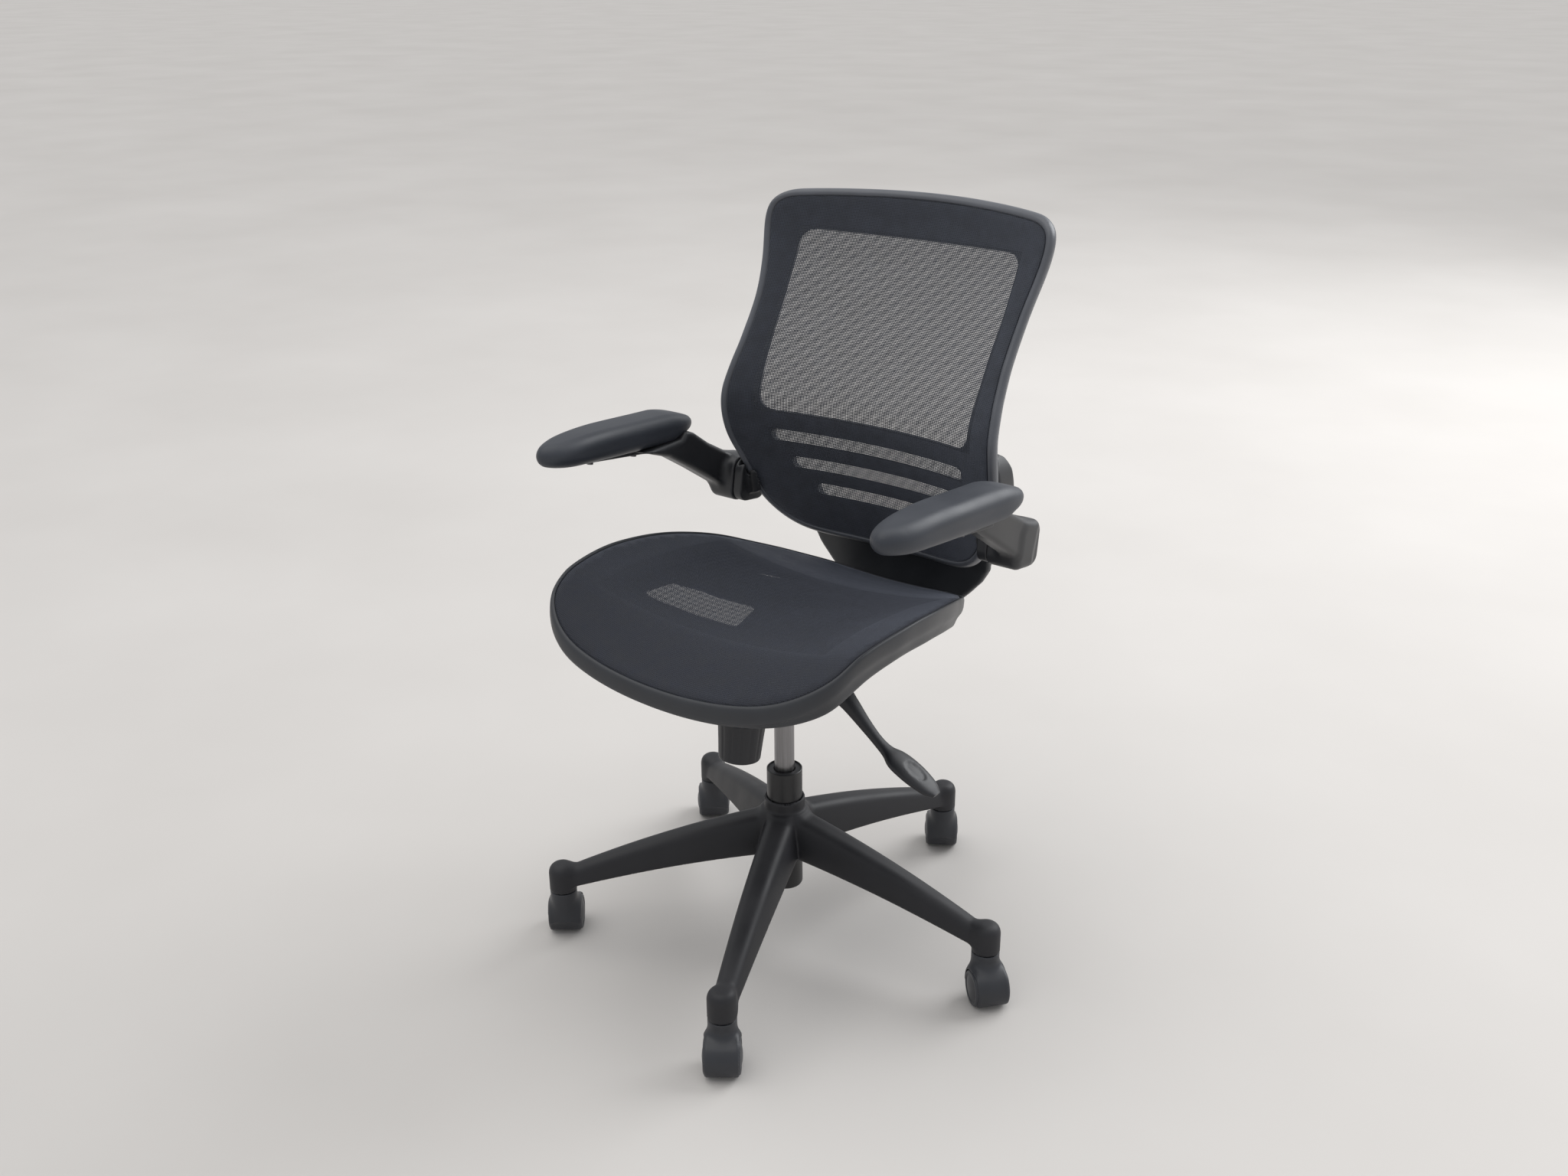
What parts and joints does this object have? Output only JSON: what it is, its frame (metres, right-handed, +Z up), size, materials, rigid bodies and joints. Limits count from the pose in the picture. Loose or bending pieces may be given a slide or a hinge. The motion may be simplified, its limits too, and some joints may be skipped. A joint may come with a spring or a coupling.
{
  "type": "office chair",
  "caption": "Swivel task chair with a contoured mesh seat, waisted mesh back with lumbar slots, flip-up padded arms, tilt and gas-lift height adjustment, on a star base with twin-wheel casters.",
  "frame": {"origin": "on the floor under the axis of the gas-lift column", "axes": "+Z up along the column, -Y the way the sitter faces, +X to the sitter's left, the lever's side"},
  "size_m": [0.6854, 0.703, 1.0086],
  "materials": {
    "nylon_black": "matte moulded nylon",
    "painted_black": "semi-gloss paint",
    "guide_plastic": "smooth moulding",
    "steel": "bright steel",
    "zinc_screw": "dark zinc plate",
    "chrome_tube": "satin chrome",
    "valve_red": "moulded",
    "spring_steel": "oiled spring steel",
    "lever_plastic": "fine texture",
    "seat_plastic": "fine texture",
    "seat_mesh": "stretched woven mesh",
    "back_mesh": "stretched woven mesh",
    "back_plastic": "fine texture",
    "arm_pad": "soft moulded skin",
    "caster_plastic": "satin nylon",
    "caster_wheel": "satin nylon"
  },
  "bodies": {
    "base": {"base_star": "nylon_black", "column_outer_tube": "painted_black", "column_guide_bush": "guide_plastic", "thrust_bearing": "steel", "caster_stems": "steel"},
    "piston": {"piston_rod": "steel", "gas_piston": "steel", "rod_clip": "steel"},
    "lift": {"gas_cylinder": "chrome_tube", "taper_bush": "painted_black", "mechanism_housing": "painted_black", "tilt_axle": "steel", "lever_pin": "steel", "tilt_spring": "spring_steel"},
    "valve": {"valve_button": "valve_red"},
    "lever": {"height_lever": "steel", "lever_paddle": "lever_plastic"},
    "seat": {"seat_plate": "painted_black", "tension_bolt": "steel", "seat_frame": "seat_plastic", "seat_mesh": "seat_mesh", "seat_screws": "zinc_screw", "back_support": "back_plastic", "support_screws": "zinc_screw", "back_frame": "back_plastic", "back_mesh": "back_mesh", "back_screws": "zinc_screw", "bracket_screws": "zinc_screw", "arm_bracket_left": "back_plastic", "arm_bracket_right": "back_plastic", "arm_pin_left": "steel", "arm_pin_right": "steel"},
    "knob": {"tension_knob": "lever_plastic"},
    "arm_left": {"arm_frame_left": "back_plastic", "arm_pad_left": "arm_pad", "pad_screws_left": "zinc_screw"},
    "arm_right": {"arm_frame_right": "back_plastic", "arm_pad_right": "arm_pad", "pad_screws_right": "zinc_screw"},
    "caster_1": {"caster_1_hood": "caster_plastic", "caster_1_axle": "steel"},
    "caster_1_wheel_left": {"caster_1_wheel_left": "caster_wheel"},
    "caster_1_wheel_right": {"caster_1_wheel_right": "caster_wheel"},
    "caster_2": {"caster_2_hood": "caster_plastic", "caster_2_axle": "steel"},
    "caster_2_wheel_left": {"caster_2_wheel_left": "caster_wheel"},
    "caster_2_wheel_right": {"caster_2_wheel_right": "caster_wheel"},
    "caster_3": {"caster_3_hood": "caster_plastic", "caster_3_axle": "steel"},
    "caster_3_wheel_left": {"caster_3_wheel_left": "caster_wheel"},
    "caster_3_wheel_right": {"caster_3_wheel_right": "caster_wheel"},
    "caster_4": {"caster_4_hood": "caster_plastic", "caster_4_axle": "steel"},
    "caster_4_wheel_left": {"caster_4_wheel_left": "caster_wheel"},
    "caster_4_wheel_right": {"caster_4_wheel_right": "caster_wheel"},
    "caster_5": {"caster_5_hood": "caster_plastic", "caster_5_axle": "steel"},
    "caster_5_wheel_left": {"caster_5_wheel_left": "caster_wheel"},
    "caster_5_wheel_right": {"caster_5_wheel_right": "caster_wheel"}
  },
  "joints": [
    {"name": "seat_swivel", "type": "hinge", "parent": "base", "child": "piston", "pos_m": [0, 0, 0.2], "axis": [0, 0, 1], "continuous": true},
    {"name": "seat_height", "type": "slide", "parent": "piston", "child": "lift", "axis": [0, 0, 1], "range_m": [-0.1, 0]},
    {"name": "height_lever_lift", "type": "hinge", "parent": "lift", "child": "lever", "pos_m": [0.052, 0, 0.414], "axis": [0, -1, 0], "range_deg": [0, 5.5]},
    {"name": "valve_press", "type": "slide", "parent": "lift", "child": "valve", "axis": [0, 0, -1], "range_m": [0, 0.005], "stiffness_N_per_m": 600, "springref_m": -0.003},
    {"name": "tilt", "type": "hinge", "parent": "lift", "child": "seat", "pos_m": [0, -0.045, 0.415], "axis": [-1, 0, 0], "range_deg": [-8, 8], "stiffness_Nm_per_rad": 90, "springref_deg": -10.2, "deforming": ["tilt_spring"]},
    {"name": "tension_turn", "type": "hinge", "parent": "seat", "child": "knob", "pos_m": [0, -0.09743, 0.33653], "axis": [0, 0.1392, 0.9903], "range_deg": [-720, 720]},
    {"name": "arm_left_flip", "type": "hinge", "parent": "seat", "child": "arm_left", "pos_m": [0.24, 0.19303, 0.5926], "axis": [-1, 0, 0], "range_deg": [0, 95]},
    {"name": "arm_right_flip", "type": "hinge", "parent": "seat", "child": "arm_right", "pos_m": [-0.24, 0.19303, 0.5926], "axis": [-1, 0, 0], "range_deg": [0, 95]},
    {"name": "caster_1_swivel", "type": "hinge", "parent": "base", "child": "caster_1", "pos_m": [-0.24297, -0.20825, 0.06], "axis": [0, 0, 1], "continuous": true},
    {"name": "caster_1_wheel_left_roll", "type": "hinge", "parent": "caster_1", "child": "caster_1_wheel_left", "pos_m": [-0.25159, -0.19722, 0.025], "axis": [-0.788, -0.6157, 0], "continuous": true},
    {"name": "caster_1_wheel_right_roll", "type": "hinge", "parent": "caster_1", "child": "caster_1_wheel_right", "pos_m": [-0.25159, -0.19722, 0.025], "axis": [-0.788, -0.6157, 0], "continuous": true},
    {"name": "caster_2_swivel", "type": "hinge", "parent": "base", "child": "caster_2", "pos_m": [0.12298, -0.29543, 0.06], "axis": [0, 0, 1], "continuous": true},
    {"name": "caster_2_wheel_left_roll", "type": "hinge", "parent": "caster_2", "child": "caster_2_wheel_left", "pos_m": [0.1312, -0.30675, 0.025], "axis": [0.809, 0.5878, 0], "continuous": true},
    {"name": "caster_2_wheel_right_roll", "type": "hinge", "parent": "caster_2", "child": "caster_2_wheel_right", "pos_m": [0.1312, -0.30675, 0.025], "axis": [0.809, 0.5878, 0], "continuous": true},
    {"name": "caster_3_swivel", "type": "hinge", "parent": "base", "child": "caster_3", "pos_m": [0.31897, 0.02566, 0.06], "axis": [0, 0, 1], "continuous": true},
    {"name": "caster_3_wheel_left_roll", "type": "hinge", "parent": "caster_3", "child": "caster_3_wheel_left", "pos_m": [0.32969, 0.01666, 0.025], "axis": [0.6428, 0.766, 0], "continuous": true},
    {"name": "caster_3_wheel_right_roll", "type": "hinge", "parent": "caster_3", "child": "caster_3_wheel_right", "pos_m": [0.32969, 0.01666, 0.025], "axis": [0.6428, 0.766, 0], "continuous": true},
    {"name": "caster_4_swivel", "type": "hinge", "parent": "base", "child": "caster_4", "pos_m": [0.07416, 0.31129, 0.06], "axis": [0, 0, 1], "continuous": true},
    {"name": "caster_4_wheel_left_roll", "type": "hinge", "parent": "caster_4", "child": "caster_4_wheel_left", "pos_m": [0.06633, 0.32289, 0.025], "axis": [-0.829, -0.5592, 0], "continuous": true},
    {"name": "caster_4_wheel_right_roll", "type": "hinge", "parent": "caster_4", "child": "caster_4_wheel_right", "pos_m": [0.06633, 0.32289, 0.025], "axis": [-0.829, -0.5592, 0], "continuous": true},
    {"name": "caster_5_swivel", "type": "hinge", "parent": "base", "child": "caster_5", "pos_m": [-0.27314, 0.16672, 0.06], "axis": [0, 0, 1], "continuous": true},
    {"name": "caster_5_wheel_left_roll", "type": "hinge", "parent": "caster_5", "child": "caster_5_wheel_left", "pos_m": [-0.2825, 0.17713, 0.025], "axis": [-0.7431, -0.6691, 0], "continuous": true},
    {"name": "caster_5_wheel_right_roll", "type": "hinge", "parent": "caster_5", "child": "caster_5_wheel_right", "pos_m": [-0.2825, 0.17713, 0.025], "axis": [-0.7431, -0.6691, 0], "continuous": true}
  ],
  "couplings": [
    {"joint": "valve_press", "follows": "height_lever_lift", "m_per_rad": 0.052}
  ]
}
